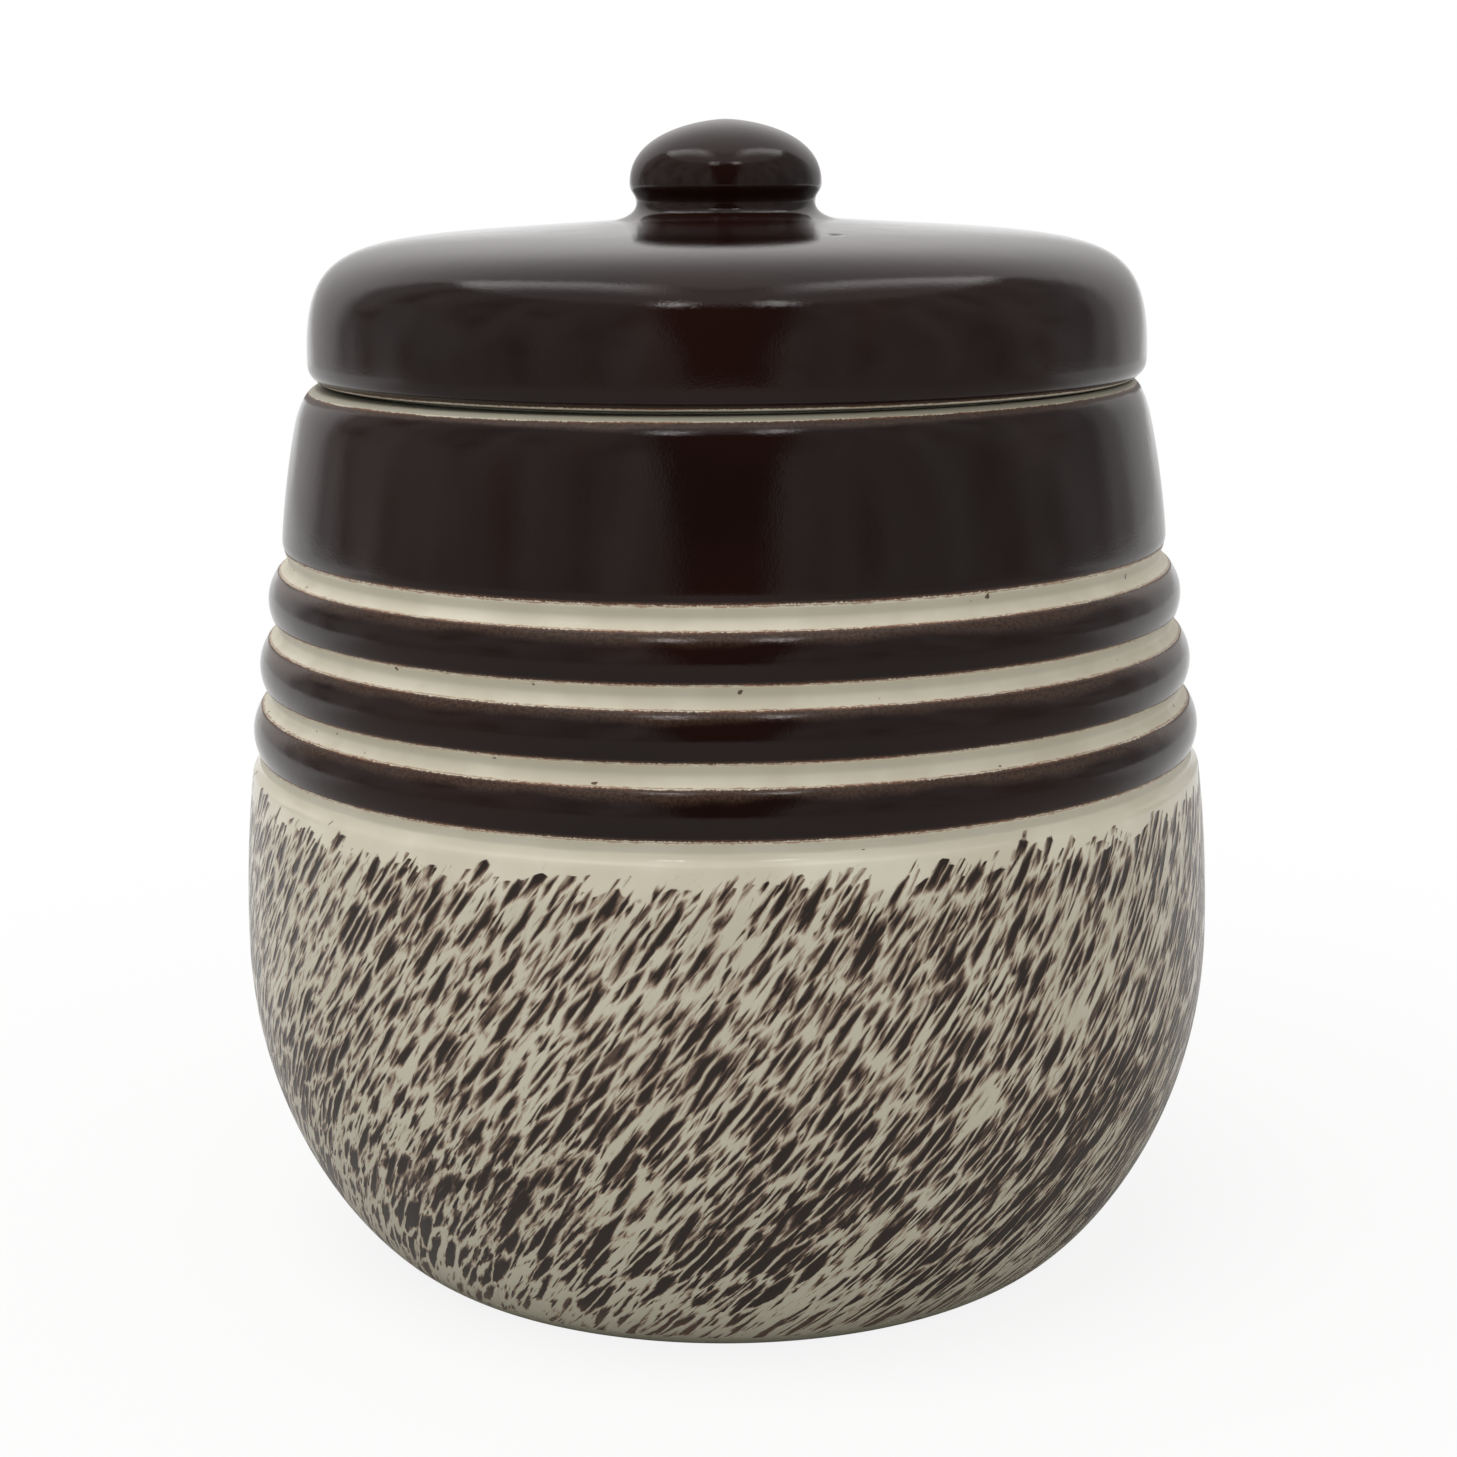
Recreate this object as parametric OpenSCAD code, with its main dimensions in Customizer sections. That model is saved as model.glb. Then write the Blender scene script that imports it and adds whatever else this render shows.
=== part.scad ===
// Lidded jam pot in glazed stoneware: a thrown pot with a plain brown collar and
// three brown ribs over a pale streaked belly, and a cushion-shaped lid with a
// round knob. The pot stands on z = 0 and its axis is Z.

/* [Pot] */
// Height of the pot's rim above the table
pot_h = 90; // [80:0.5:100]
// Widest diameter of the belly, over the glaze
belly_d = 100.8; // [98:0.2:110]
// Height of the widest part of the belly
belly_h = 33; // [26:0.5:40]
// How far the foot's edge is drawn in under the belly
foot_in = 14.2; // [10:0.2:18]
// Width of the flat ring that the pot stands on
foot_flat_w = 5; // [3:0.5:8]
// Height of the hollow under the base
foot_recess_h = 1.2; // [0.6:0.1:2]
// Thickness of the wall at the belly
wall_t = 4.6; // [3.5:0.1:6]
// Thickness of the floor
floor_t = 5.5; // [4:0.1:8]
// Thickness of the wall at the rim
rim_t = 5.3; // [4:0.05:6.5]

/* [Collar and ribs] */
// How far the shoulder under the lowest rib is drawn in from the belly
shoulder_in = 1.8; // [1.2:0.1:3]
// How far the ribbed neck draws in from the shoulder up to the collar
neck_taper = 3.2; // [2:0.1:5]
// How far the collar draws in from its lower edge up to the rim's rounding
collar_taper = 2.1; // [1:0.05:4]
// Height of the collar, rim included
collar_h = 16.4; // [14:0.1:19]
// Height of one rib
rib_h = 4.8; // [4:0.1:5.6]
// How far a rib swells past the neck
rib_out = 0.55; // [0.2:0.05:0.9]
// Height of one groove
groove_h = 2.05; // [1.5:0.05:2.8]
// Depth of a groove
groove_d = 0.85; // [0.4:0.05:1.4]

/* [Rim] */
// Height of the rounding at the rim's outer edge
lip_h = 2.3; // [1.5:0.1:3]
// Width of the rounding at the rim's outer edge
lip_round = 1.95; // [1.2:0.05:2.4]
// Depth of the straight part of the mouth that the lid's flange drops into
land_h = 8; // [7.5:0.5:14]

/* [Lid] */
// How far the lid's side stays inside the collar's top edge
lid_in = 0.65; // [0:0.05:1.5]
// Height of the lid's crown above the rim, where the knob's foot meets it
lid_h = 16; // [13:0.1:20]
// Height of the lid's widest part above the rim
lid_belly_h = 2.7; // [2.2:0.1:4]
// Height of the lower edge of the lid's glaze above the rim
lid_edge_h = 0.7; // [0.6:0.05:1.2]
// Height of the slit between the rim and the lid's edge, outside the seat
slit_h = 0.4; // [0.2:0.05:0.5]
// How far the lid's flat seat is drawn in under its side
lid_tuck = 3; // [2.4:0.05:3.4]
// Thickness of the lid's shell
lid_t = 5; // [4:0.1:6.5]
// Depth of the flange inside the mouth
flange_h = 6; // [4:0.5:7]
// Thickness of the flange
flange_t = 3; // [2.4:0.1:4]
// Gap round the flange in the mouth
flange_gap = 0.6; // [0.4:0.05:1]

/* [Knob] */
// Diameter of the knob, over the glaze
knob_d = 19.5; // [16:0.1:24]
// Height of the knob above the crown
knob_h = 10; // [8.5:0.1:13]
// Height of the knob's widest part above the crown
knob_belly_h = 3.7; // [3:0.1:4.5]
// How much narrower the knob's neck is than the knob, on each side
neck_in = 0.65; // [0.2:0.05:1.5]
// Height of the knob's neck above the crown
neck_h = 1.7; // [1.2:0.1:2.2]
// Width of the fillet that spreads the neck on the crown
neck_flare = 2.6; // [1.5:0.1:3.5]

/* [Glaze] */
// Thickness of a coat of glaze
coat_t = 0.4; // [0.25:0.05:0.6]

/* [Hidden] */

clay_colour = [0.80, 0.76, 0.66];
brown_colour = [0.17, 0.11, 0.09];
streak_colour = [0.60, 0.56, 0.48];
lining_colour = [0.72, 0.67, 0.56];
round_fn = 96;
rib_count = 3;
groove_steps = 8;
lip_steps = 12;
lip_coated = 8;

// Shares that shape the curves
swell_share = 0.7;
rib_share = 1;
collar_bow_share = 0.02;
neck_bow_share = 0.012;
belly_top_share = 0.36;
belly_bow_share = 0.5;
belly_shoulder_share = 0.3;
belly_coat_share = 0.04;
foot_reach_share = 0.3;
foot_lift_share = 0.075;
belly_drop_share = 0.44;
lip_lean_share = 0.2;
lip_rise_share = 0.5;
lip_flat_share = 0.6;
cavity_flat_share = 0.8;
cavity_drop_share = 0.5;
cavity_rise_share = 0.45;
cavity_neck_share = 0.8;
lid_edge_share = 0.7;
slit_share = 0.8;
tuck_reach_share = 0.75;
tuck_low_share = 0.25;
tuck_rise_share = 0.4;
dome_rise_share = 0.97;
dome_flat_share = 0.81;
dome_slope_share = 0.055;
fillet_share = 0.45;
knob_under_share = 0.5;
knob_rise_share = 0.84;
knob_flat_share = 0.2;
hollow_rise_share = 0.8;
hollow_flat_share = 0.75;

// Points and paths. A path is a list of [radius, height] points that runs upwards
// along the outside, so that the clay is on its left.
function unit(v) = v / norm(v);
function leftward(v) = [-v[1], v[0]];
function lerp(a, b, t) = a + (b - a) * t;
function reversed(path) = [for (i = [len(path) - 1 : -1 : 0]) path[i]];
function from_point(path, first) = [for (i = [first : len(path) - 1]) path[i]];

// Points of a Bezier curve from a to b, with the handles ha and hb
function bezier_at(a, ha, hb, b, t) =
    pow(1 - t, 3) * a + 3 * pow(1 - t, 2) * t * ha + 3 * (1 - t) * pow(t, 2) * hb + pow(t, 3) * b;
function bezier(a, ha, hb, b, steps) = [for (i = [0 : steps]) bezier_at(a, ha, hb, b, i / steps)];

// Points from a to b that swell out by s, or dip in where s is negative
function swell(a, b, s, steps, share = swell_share) =
    [for (i = [0 : steps])
        let (t = (1 - cos(180 * i / steps)) / 2)
        lerp(a, b, t) - s * pow(4 * t * (1 - t), share) * leftward(unit(b - a))];

// A path moved inwards by d, square to its own direction
function inset(path, d) =
    [for (i = [0 : len(path) - 1])
        let (ahead = path[min(i + 1, len(path) - 1)], behind = path[max(i - 1, 0)])
        path[i] + d * leftward(unit(ahead - behind))];

// A path that ends on the axis, with its last point set exactly there
function to_axis(path) = [for (i = [0 : len(path) - 1]) i < len(path) - 1 ? path[i] : [0, path[i][1]]];

// The neck, which carries the ribs and grooves between the collar and the shoulder
belly_r = belly_d / 2;
shoulder_r = belly_r - shoulder_in;
collar_low_r = shoulder_r - neck_taper;
collar_top_r = collar_low_r - collar_taper;
band_pitch = rib_h + groove_h;
collar_low_z = pot_h - collar_h;
shoulder_z = collar_low_z - rib_count * band_pitch;
neck_bow = neck_bow_share * (collar_low_z - shoulder_z);
function neck_at(z) =
    let (t = (collar_low_z - z) / (collar_low_z - shoulder_z))
    [lerp(collar_low_r, shoulder_r, t) + neck_bow * 4 * t * (1 - t), z];
function rib_low(i) = neck_at(shoulder_z + i * band_pitch);
function rib_top(i) = neck_at(shoulder_z + i * band_pitch + rib_h);
function rib_path(i) = swell(rib_low(i), rib_top(i), rib_out, 12, rib_share);
function groove_path(i) = swell(rib_top(i), rib_low(i + 1), -groove_d, groove_steps);

// The belly, from the bare edge over the foot up to the groove under the lowest rib, where
// the coat ends at the groove's deepest point and the rest of the groove is bare
foot_r = belly_r - foot_in;
foot_end = [foot_r, 0];
belly_end = [belly_r, belly_h];
belly_top = [lerp(shoulder_r, belly_r, belly_top_share), shoulder_z - groove_h];
foot_curve = bezier(foot_end, [lerp(foot_r, belly_r, foot_reach_share), belly_h * foot_lift_share],
                    [belly_r, belly_h * belly_drop_share], belly_end, 28);
foot_path = [for (p = foot_curve) if (p[1] < belly_h * belly_coat_share) p];
lower_path = [for (p = foot_curve) if (p[1] >= belly_h * belly_coat_share) p];
upper_handle = [belly_r, lerp(belly_h, belly_top[1], belly_bow_share)];
upper_path = bezier(belly_end, upper_handle, lerp(belly_top, upper_handle, belly_shoulder_share),
                    belly_top, 10);
shoulder_path = swell(belly_top, rib_low(0), -groove_d / 2, groove_steps);
shoulder_lowest = groove_steps / 2;
belly_path = concat(lower_path, from_point(upper_path, 1),
                    [for (i = [1 : shoulder_lowest]) shoulder_path[i]]);

// The collar, the rounding that its coat is carried over, and the bare lip above the coat
collar_top = [collar_top_r, pot_h - lip_h];
lip_curve = bezier(collar_top,
                   [collar_top_r - lip_round * lip_lean_share, pot_h - lip_h * lip_rise_share],
                   [collar_top_r - lip_round * lip_flat_share, pot_h],
                   [collar_top_r - lip_round, pot_h], lip_steps);
collar_path = concat(swell(rib_low(rib_count), collar_top, collar_bow_share * collar_h, 12),
                     [for (i = [1 : lip_coated]) lip_curve[i]]);
lip_path = from_point(lip_curve, lip_coated);

// The inside of the pot, from the middle of the floor up to the straight land
mouth_r = collar_top_r - rim_t;
land_low_z = pot_h - land_h;
cavity_r = belly_r - wall_t;
cavity_floor_r = foot_r - wall_t;
cavity_low = bezier([cavity_floor_r * cavity_flat_share, floor_t], [cavity_r, floor_t],
                    [cavity_r, belly_h * cavity_drop_share], [cavity_r, belly_h], 16);
cavity_top = bezier([cavity_r, belly_h], [cavity_r, lerp(belly_h, land_low_z, cavity_rise_share)],
                    [mouth_r, lerp(belly_h, land_low_z, cavity_neck_share)],
                    [mouth_r, land_low_z], 16);
cavity_path = concat([[0, floor_t]], cavity_low, from_point(cavity_top, 1));

// The outside of the lid, from its bare edge up to the knob's foot
lid_r = collar_top_r - lid_in;
lid_seat_r = lid_r - lid_tuck;
crown_z = pot_h + lid_h;
knob_r = knob_d / 2;
neck_r = knob_r - neck_in;
crown_r = neck_r + neck_flare;
lid_edge = [lerp(lid_seat_r, lid_r, lid_edge_share), pot_h + lid_edge_h];
lid_belly = [lid_r, pot_h + lid_belly_h];
crown = [crown_r, crown_z];
tuck_low = [lerp(lid_edge[0], lid_r, tuck_reach_share), lerp(lid_edge[1], lid_belly[1], tuck_low_share)];
tuck_high = [lid_r, lerp(lid_edge[1], lid_belly[1], tuck_rise_share)];
tuck_path = bezier(lid_edge, tuck_low, tuck_high, lid_belly, 8);
dome_curve = bezier(lid_belly, [lid_r, lerp(lid_belly[1], crown_z, dome_rise_share)],
                    [lerp(crown_r, lid_r, dome_flat_share), crown_z - dome_slope_share * (lid_r - crown_r)],
                    crown, 28);
dome_path = concat(tuck_path, from_point(dome_curve, 1));

// The outside of the knob, from its fillet up to its top
neck = [neck_r, crown_z + neck_h];
knob_belly = [knob_r, crown_z + knob_belly_h];
knob_top = [0, crown_z + knob_h];
fillet_path = bezier(crown, [lerp(neck_r, crown_r, fillet_share), crown_z + dome_slope_share * neck_flare],
                     [neck_r, lerp(crown_z, neck[1], fillet_share)], neck, 8);
knob_under_z = lerp(neck[1], knob_belly[1], knob_under_share);
knob_under_path = bezier(neck, [neck_r, knob_under_z], [knob_r, knob_under_z], knob_belly, 8);
knob_over_path = bezier(knob_belly, [knob_r, lerp(knob_belly[1], knob_top[1], knob_rise_share)],
                        [knob_r * knob_flat_share, knob_top[1]], knob_top, 16);
lid_path = concat(dome_path, from_point(fillet_path, 1), from_point(knob_under_path, 1),
                  from_point(knob_over_path, 1));

// The clay under the lid's glaze: the shell up to the crown, then the knob
lid_clay_path = to_axis(inset(lid_path, coat_t));
crown_place = len(dome_path) - 1;
shell_path = [for (i = [0 : crown_place]) lid_clay_path[i]];
knob_path = from_point(lid_clay_path, crown_place);
knob_foot = [0, lid_clay_path[crown_place][1]];

// The flange that drops into the mouth, and the hollow under the lid
flange_r = mouth_r - flange_gap;
flange_low_z = pot_h - flange_h;
hollow_r = flange_r - flange_t;
hollow_top_z = crown_z - lid_t;
hollow_path = bezier([hollow_r, pot_h], [hollow_r, lerp(pot_h, hollow_top_z, hollow_rise_share)],
                     [hollow_r * hollow_flat_share, hollow_top_z], [0, hollow_top_z], 14);

// A layer between two paths that run the same way, turned round the axis
module layer(outer, inner) {
    rotate_extrude($fn = round_fn) polygon(concat(outer, reversed(inner)));
}

module pot_body() {
    ribs = [for (i = [0 : rib_count - 1]) each concat(inset(rib_path(i), coat_t), groove_path(i))];
    base = [[0, foot_recess_h], [foot_r - foot_flat_w - foot_recess_h, foot_recess_h],
            [foot_r - foot_flat_w, 0]];
    color(clay_colour)
    rotate_extrude($fn = round_fn)
    polygon(concat(base, foot_path, [lower_path[0]], inset(belly_path, coat_t),
                   from_point(shoulder_path, shoulder_lowest), ribs, inset(collar_path, coat_t),
                   lip_path, [[mouth_r, pot_h]], reversed(cavity_path)));
}

module pot_lining() {
    color(lining_colour) layer(inset(cavity_path, coat_t), cavity_path);
}

module belly_glaze() {
    color(streak_colour) layer(belly_path, inset(belly_path, coat_t));
}

module rib_glaze(i) {
    color(brown_colour) layer(rib_path(i), inset(rib_path(i), coat_t));
}

module collar_glaze() {
    color(brown_colour) layer(collar_path, inset(collar_path, coat_t));
}

module lid_body() {
    flange = [[hollow_r, flange_low_z], [flange_r, flange_low_z], [flange_r, pot_h]];
    seat = [[lid_seat_r, pot_h], [lid_seat_r, pot_h + slit_h],
            [lerp(lid_seat_r, lid_edge[0], slit_share), pot_h + slit_h]];
    color(clay_colour)
    rotate_extrude($fn = round_fn)
    polygon(concat(flange, seat, [lid_edge], shell_path, [knob_foot], reversed(hollow_path)));
}

module lid_lining() {
    color(lining_colour) layer(hollow_path, to_axis(inset(hollow_path, coat_t)));
}

module lid_knob() {
    color(clay_colour)
    rotate_extrude($fn = round_fn)
    polygon(concat([knob_foot], knob_path));
}

module lid_glaze() {
    color(brown_colour) layer(lid_path, lid_clay_path);
}

pot_body();
pot_lining();
belly_glaze();
rib_glaze(0);  // rib_glaze_low
rib_glaze(1);  // rib_glaze_mid
rib_glaze(2);  // rib_glaze_top
collar_glaze();
lid_body();
lid_lining();
lid_knob();
lid_glaze();
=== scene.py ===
"""Lidded jam pot in glazed stoneware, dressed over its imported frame.

Every piece is turned round the pot's axis from the same paths as the solids, with finer steps.
Path lengths are in millimetres, as in the part's source, and meshes are in metres.
"""

import math

import bpy
import numpy as np
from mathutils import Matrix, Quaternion, Vector


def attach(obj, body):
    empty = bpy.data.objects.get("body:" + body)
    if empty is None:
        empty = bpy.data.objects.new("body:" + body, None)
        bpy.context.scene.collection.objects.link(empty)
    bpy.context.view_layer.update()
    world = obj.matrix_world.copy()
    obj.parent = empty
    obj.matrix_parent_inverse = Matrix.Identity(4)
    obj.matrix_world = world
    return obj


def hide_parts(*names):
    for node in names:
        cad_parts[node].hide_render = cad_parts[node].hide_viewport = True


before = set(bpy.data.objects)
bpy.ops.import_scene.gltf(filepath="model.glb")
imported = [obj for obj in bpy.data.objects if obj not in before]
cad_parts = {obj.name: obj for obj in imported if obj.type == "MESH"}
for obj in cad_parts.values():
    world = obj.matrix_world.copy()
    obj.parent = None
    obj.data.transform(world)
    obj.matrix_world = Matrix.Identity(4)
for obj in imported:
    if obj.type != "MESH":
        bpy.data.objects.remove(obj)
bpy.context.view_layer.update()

MM = 0.001

# Sizes of the pot, in millimetres
POT_H = 90.0
BELLY_R = 50.4
BELLY_H = 33.0
FOOT_R = BELLY_R - 14.2
FOOT_FLAT_W = 5.0
FOOT_RECESS_H = 1.2
WALL_T = 4.6
FLOOR_T = 5.5
RIM_T = 5.3
SHOULDER_R = BELLY_R - 1.8
COLLAR_LOW_R = SHOULDER_R - 3.2
COLLAR_TOP_R = COLLAR_LOW_R - 2.1
COLLAR_H = 16.4
RIB_COUNT = 3
RIB_H = 4.8
RIB_OUT = 0.7
GROOVE_H = 2.05
GROOVE_D = 0.85
LIP_H = 2.6
LIP_ROUND = 1.95
LAND_H = 8.0
COAT_T = 0.4

# Sizes of the lid and its knob, in millimetres
LID_R = COLLAR_TOP_R - 0.65
LID_SEAT_R = LID_R - 3.0
CROWN_Z = POT_H + 16.0
LID_BELLY_H = 2.7
LID_EDGE_H = 0.57
SLIT_H = 0.3
LID_T = 5.0
FLANGE_H = 6.0
FLANGE_T = 3.0
FLANGE_GAP = 0.6
KNOB_R = 9.75
KNOB_H = 10.0
KNOB_BELLY_H = 3.7
NECK_R = KNOB_R - 0.65
NECK_H = 1.7
CROWN_R = NECK_R + 2.6

# Points round the axis, and steps along the paths
FINE_TURN = 640
PLAIN_TURN = 256
FINE_STEPS = 96
RIB_STEPS = 40
GROOVE_STEPS = 24
LIP_STEPS = 36
LIP_COATED = 24
BELLY_STEPS = 40
INSIDE_STEPS = 48
FILLET_STEPS = 24
KNOB_UNDER_STEPS = 20
KNOB_OVER_STEPS = 48

# The widest angle between faces that is still shaded as smooth, in degrees
SMOOTH_ANGLE = 50

# How far away a coat's edge is taken to be where it has none
NO_EDGE = 100.0

# How far corners between coats are rounded, and the collar's lower one with what is beside it
JOINT_ROUND = 0.22
COLLAR_ROUND = 0.75
COLLAR_SPREAD = 1.6

# The low ridge in a groove: how far it stands out, and its place and width as shares of the groove
RIDGE_OUT = 0.13
RIDGE_AT = 0.54
RIDGE_W = 0.07

# The share of the belly's lower part that is left bare over the foot
FOOT_BARE = 0.04

# How far to one side the loose lid lies in the mouth, and how much higher the pot's lip is there,
# from how far outside the lid's seat and how far below the rim, and over what width and height
LID_ASIDE = 0.45
LIP_RISE = 0.2
RISE_OUTSIDE = 0.6
RISE_BELOW = 4.0
RISE_W = 1.0
RISE_H = 3.5

# The small pit in the lid's glaze beside the knob
PIT_X = 10.65
PIT_Y = -23.6
PIT_R = 0.45
PIT_D = 0.4


# Paths

def vec(x, z):
    return np.array([x, z], float)


def lerp(a, b, t):
    return a + (b - a) * t


def unit(v):
    return v / np.linalg.norm(v)


def leftward(v):
    return np.array([-v[1], v[0]])


def bezier(a, ha, hb, b, steps):
    """Points of a Bezier curve from a to b."""
    t = np.linspace(0, 1, steps + 1)[:, None]
    return (1 - t) ** 3 * a + 3 * (1 - t) ** 2 * t * ha + 3 * (1 - t) * t ** 2 * hb + t ** 3 * b


def swell(a, b, out, steps, share=0.7):
    """Points from a to b that swell out, or dip in where out is negative."""
    t = (1 - np.cos(np.linspace(0, math.pi, steps + 1))) / 2
    t = t[:, None]
    return lerp(a, b, t) - out * (4 * t * (1 - t)) ** share * leftward(unit(b - a))


def inset(path, depth):
    """A path moved inwards, square to its own direction."""
    ahead = np.vstack([path[1:], path[-1:]])
    behind = np.vstack([path[:1], path[:-1]])
    along = ahead - behind
    along /= np.linalg.norm(along, axis=1)[:, None]
    return path + depth * np.column_stack([-along[:, 1], along[:, 0]])


def to_axis(path):
    """A path whose last point is set on the axis."""
    path = path.copy()
    path[-1, 0] = 0
    return path


def join(*paths):
    """One path out of several, without doubled points."""
    points = np.vstack([np.atleast_2d(p) for p in paths])
    keep = [0]
    for i in range(1, len(points)):
        if np.linalg.norm(points[i] - points[keep[-1]]) > 1e-6:
            keep.append(i)
    return points[keep]


def run_lengths(path):
    """How far along the path each point is, from its first."""
    steps = np.linalg.norm(np.diff(path, axis=0), axis=1)
    return np.concatenate([[0], np.cumsum(steps)])


def round_joints(paths, radius, wide_joint, wide_radius):
    """Paths that lie end to end, with the corners between them rounded off as glaze rounds them.

    wide_joint is the path whose first corner is rounded by wide_radius instead.
    """
    whole = np.vstack([paths[0]] + [path[1:] for path in paths[1:]])
    run = run_lengths(whole)
    wide_at = run[sum(len(path) - 1 for path in paths[:wide_joint])]
    nearness = np.exp(-((run - wide_at) / (COLLAR_SPREAD * wide_radius)) ** 2)
    reach = lerp(radius, wide_radius, nearness)
    reach = np.minimum(reach, np.minimum(run, run[-1] - run) / 3 + 1e-6)
    pull = np.exp(-0.5 * ((run[:, None] - run[None, :]) / reach[:, None]) ** 2) * np.gradient(run)
    rounded = (pull @ whole) / pull.sum(1)[:, None]
    parts = []
    first = 0
    for path in paths:
        parts.append(rounded[first:first + len(path)])
        first += len(path) - 1
    return parts


def soften(before, corner, after, radius, steps=6):
    """The points that round a corner off."""
    start = corner + radius * unit(before - corner)
    end = corner + radius * unit(after - corner)
    return bezier(start, lerp(start, corner, 0.6), lerp(end, corner, 0.6), end, steps)


BAND_PITCH = RIB_H + GROOVE_H
COLLAR_LOW_Z = POT_H - COLLAR_H
SHOULDER_Z = COLLAR_LOW_Z - RIB_COUNT * BAND_PITCH
NECK_BOW = 0.012 * (COLLAR_LOW_Z - SHOULDER_Z)


def neck_at(z):
    t = (COLLAR_LOW_Z - z) / (COLLAR_LOW_Z - SHOULDER_Z)
    return vec(lerp(COLLAR_LOW_R, SHOULDER_R, t) + NECK_BOW * 4 * t * (1 - t), z)


def rib_low(i):
    return neck_at(SHOULDER_Z + i * BAND_PITCH)


def rib_top(i):
    return neck_at(SHOULDER_Z + i * BAND_PITCH + RIB_H)


def groove(i):
    """A groove above rib i, with the low ridge that the turning tool left along its middle."""
    path = swell(rib_top(i), rib_low(i + 1), -GROOVE_D, GROOVE_STEPS)
    share = run_lengths(path) / run_lengths(path)[-1]
    path[:, 0] += RIDGE_OUT * np.exp(-((share - RIDGE_AT) / RIDGE_W) ** 2)
    return path


rib_paths = [swell(rib_low(i), rib_top(i), RIB_OUT, RIB_STEPS, 1) for i in range(RIB_COUNT)]
groove_paths = [groove(i) for i in range(RIB_COUNT)]

# The belly, from the bare edge over the foot up to the groove under the lowest rib
belly_end = vec(BELLY_R, BELLY_H)
belly_top = vec(lerp(SHOULDER_R, BELLY_R, 0.36), SHOULDER_Z - GROOVE_H)
foot_curve = bezier(vec(FOOT_R, 0), vec(lerp(FOOT_R, BELLY_R, 0.3), BELLY_H * 0.075),
                    vec(BELLY_R, BELLY_H * 0.44), belly_end, FINE_STEPS)
foot_path = foot_curve[foot_curve[:, 1] < BELLY_H * FOOT_BARE]
lower_path = foot_curve[foot_curve[:, 1] >= BELLY_H * FOOT_BARE]
upper_handle = vec(BELLY_R, lerp(BELLY_H, belly_top[1], 0.5))
upper_path = bezier(belly_end, upper_handle, lerp(belly_top, upper_handle, 0.3), belly_top,
                    BELLY_STEPS)
shoulder_path = swell(belly_top, rib_low(0), -GROOVE_D / 2, GROOVE_STEPS)
belly_path = join(lower_path, upper_path, shoulder_path[:GROOVE_STEPS // 2 + 1])
shoulder_bare = shoulder_path[GROOVE_STEPS // 2:]

# The collar, the rounding that its coat is carried over, and the bare lip above the coat
collar_top = vec(COLLAR_TOP_R, POT_H - LIP_H)
lip_curve = bezier(collar_top,
                   vec(COLLAR_TOP_R - LIP_ROUND * 0.2, POT_H - LIP_H * 0.5),
                   vec(COLLAR_TOP_R - LIP_ROUND * 0.6, POT_H),
                   vec(COLLAR_TOP_R - LIP_ROUND, POT_H), LIP_STEPS)
collar_path = join(swell(rib_low(RIB_COUNT), collar_top, 0.02 * COLLAR_H, FINE_STEPS),
                   lip_curve[:LIP_COATED + 1])
lip_path = lip_curve[LIP_COATED:]

# The corners between coats and grooves, rounded off
outside = [belly_path, shoulder_bare]
for i in range(RIB_COUNT):
    outside += [rib_paths[i], groove_paths[i]]
outside += [collar_path, lip_path]
outside = round_joints(outside, JOINT_ROUND, len(outside) - 2, COLLAR_ROUND)
belly_path, shoulder_bare = outside[:2]
rib_paths = outside[2:-2:2]
groove_paths = outside[3:-2:2]
collar_path, lip_path = outside[-2:]

# The inside of the pot
MOUTH_R = COLLAR_TOP_R - RIM_T
LAND_LOW_Z = POT_H - LAND_H
CAVITY_R = BELLY_R - WALL_T
cavity_path = join(
    vec(0, FLOOR_T),
    bezier(vec((FOOT_R - WALL_T) * 0.8, FLOOR_T), vec(CAVITY_R, FLOOR_T),
           vec(CAVITY_R, BELLY_H * 0.5), vec(CAVITY_R, BELLY_H), INSIDE_STEPS),
    bezier(vec(CAVITY_R, BELLY_H), vec(CAVITY_R, lerp(BELLY_H, LAND_LOW_Z, 0.45)),
           vec(MOUTH_R, lerp(BELLY_H, LAND_LOW_Z, 0.8)), vec(MOUTH_R, LAND_LOW_Z),
           INSIDE_STEPS))

# The outside of the lid, from its bare edge up to the knob's foot
lid_edge = vec(lerp(LID_SEAT_R, LID_R, 0.7), POT_H + LID_EDGE_H)
lid_belly = vec(LID_R, POT_H + LID_BELLY_H)
crown = vec(CROWN_R, CROWN_Z)
tuck_path = bezier(lid_edge,
                   vec(lerp(lid_edge[0], LID_R, 0.75), lerp(lid_edge[1], lid_belly[1], 0.25)),
                   vec(LID_R, lerp(lid_edge[1], lid_belly[1], 0.4)), lid_belly, FILLET_STEPS)
dome_curve = bezier(lid_belly, vec(LID_R, lerp(lid_belly[1], CROWN_Z, 0.97)),
                    vec(lerp(CROWN_R, LID_R, 0.81), CROWN_Z - 0.055 * (LID_R - CROWN_R)),
                    crown, FINE_STEPS)
dome_path = join(tuck_path, dome_curve)

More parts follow.
